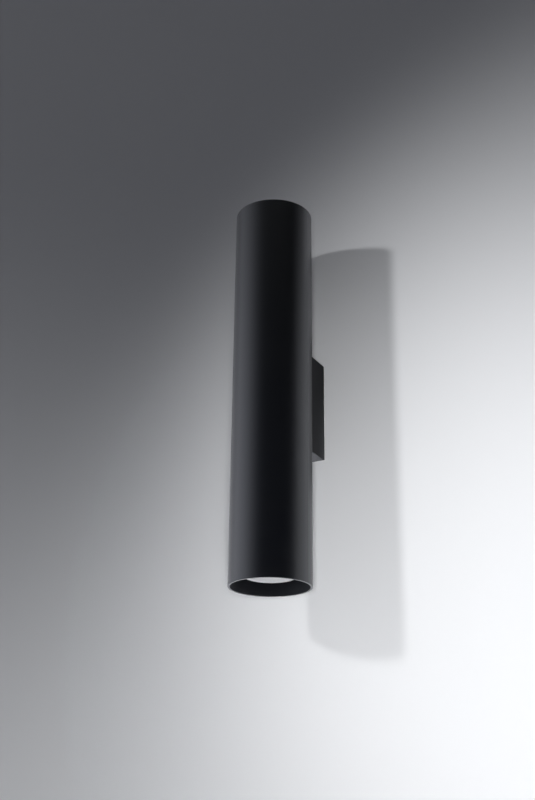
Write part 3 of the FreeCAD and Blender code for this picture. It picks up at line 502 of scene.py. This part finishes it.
def wall_shade(paint, x, z):
    """Where the painted shade lies, for gloss alone: 1 on the wall beside the box, and 0 away from it."""
    across = paint.calculate("ABSOLUTE", x)
    up = paint.calculate("ABSOLUTE", z)
    return paint.window((across, WALL_SHADE_SIDE), (up, WALL_SHADE_END))


def wall_glow(paint, x, z):
    """How strongly each place on the wall glows in reflections alone: painted reflections, as the wall is no
    lamp.
    """
    left = paint.window((x, WALL_LEFT_RAMP), (z, WALL_LEFT_FADE))
    right = paint.window((x, WALL_RIGHT_RAMP), (x, WALL_RIGHT_FADE))
    back = paint.window((x, WALL_BACK_LEFT), (x, WALL_BACK_RIGHT), (z, WALL_BACK_RAMP), (z, WALL_BACK_END))
    glow = paint.product(left, WALL_LEFT_GLOW)
    glow = paint.calculate("MULTIPLY_ADD", right, WALL_RIGHT_GLOW, glow)
    return paint.calculate("MULTIPLY_ADD", back, WALL_BACK_GLOW, glow)


def make_floor():
    half = FLOOR_REACH / 2
    corners = [(x, y, cad_low.z - FLOOR_DROP) for x, y in rectangle(half, half)]
    paint = Surface("stage_floor_paint", FLOOR_COLOUR, FLOOR_ROUGHNESS)
    paint.bump(paint.noise(*FLOOR_GRAIN), *FLOOR_RELIEF)
    paint.set("Emission Color", opaque(FLOOR_COLOUR))
    paint.drive("Emission Strength", paint.product(paint.seen(), FLOOR_GLOW))
    sheet("stage_floor", corners, [tuple(range(len(corners)))], paint.material)


def make_screen():
    low, high = cad_low.z - FLOOR_DROP, SCREEN_TOP
    corners = []
    for step in range(SCREEN_STEPS + 1):
        turn = math.pi * (step / SCREEN_STEPS - 1 / 2)
        x, y = SCREEN_RADIUS * math.sin(turn), -SCREEN_RADIUS * math.cos(turn)
        corners += [(x, y, low), (x, y, high)]
    faces = []
    for step in range(SCREEN_STEPS):
        left, right = 2 * step, 2 * step + 2
        faces.append((left, right, right + 1, left + 1))
    screen = sheet("stage_screen", corners, faces, screen_glow())
    screen.visible_camera = False
    screen.visible_diffuse = False
    screen.visible_shadow = False
    screen.visible_transmission = False


def screen_glow():
    """Light that fades from the screen's left side to its middle, and upwards."""
    glow = Surface("stage_screen_glow", SCREEN_COLOUR, SCREEN_ROUGHNESS)
    glow.set("Emission Color", opaque(GLOW_COLOUR))
    place = glow.split(glow.place)
    left = glow.ramp(place["X"], 0.0, -SCREEN_RADIUS * SCREEN_BRIGHT_SHARE)
    curved = glow.calculate("POWER", left, SCREEN_CURVE)
    glow.drive("Emission Strength", glow.product(curved, glow.ramp(place["Z"], *SCREEN_FADE), SCREEN_BRIGHT))
    return glow.material


def make_world():
    """A pale backdrop for what is seen, and a low even light from the room."""
    world = bpy.data.worlds.new("stage_world")
    world.use_nodes = True
    bpy.context.scene.world = world
    nodes = Nodes(world.node_tree)
    pale = nodes.tree.nodes["Background"]
    pale.inputs["Color"].default_value = opaque(PALE_SKY)
    room = nodes.add("ShaderNodeBackground")
    room.inputs["Color"].default_value = opaque(ROOM_LIGHT)
    nodes.choose(nodes.seen(), room.outputs["Background"], pale.outputs["Background"], "World Output")


def make_light(name, kind, place, target, power, **settings):
    """A lamp aimed at its target. No reflection shows it."""
    light = bpy.data.lights.new(name, kind)
    light.energy = power
    for setting, value in settings.items():
        setattr(light, setting, value)
    lamp = bpy.data.objects.new(name, light)
    bpy.context.scene.collection.objects.link(lamp)
    lamp.location = place
    lamp.rotation_mode = "QUATERNION"
    lamp.rotation_quaternion = (target - place).to_track_quat("-Z", "Y")
    lamp.visible_glossy = False


def make_lights():
    """The lamps light matt surfaces. What gloss mirrors is the screen and the wall."""
    make_light("key_spot", "SPOT", **KEY_SPOT)
    make_light("eye_spot", "SPOT", **EYE_SPOT)
    make_light("low_box", "AREA", **LOW_BOX)


def make_camera():
    camera = bpy.data.objects.new("camera", bpy.data.cameras.new("camera"))
    camera.data.lens = CAMERA_LENS
    camera.data.sensor_width = SENSOR_WIDTH
    turn = Matrix()
    for angle, axis in ((CAMERA_YAW, "Z"), (math.pi / 2 + CAMERA_PITCH, "X"), (CAMERA_ROLL, "Z")):
        turn = turn @ Matrix.Rotation(angle, MATRIX_SIDE, axis)
    camera.matrix_world = Matrix.Translation(CAMERA_PLACE) @ turn
    bpy.context.scene.collection.objects.link(camera)
    bpy.context.scene.camera = camera


bpy.context.scene.view_settings.view_transform = "Standard"
dress(make_materials())
make_wall()
make_floor()
make_screen()
make_world()
make_lights()
make_camera()
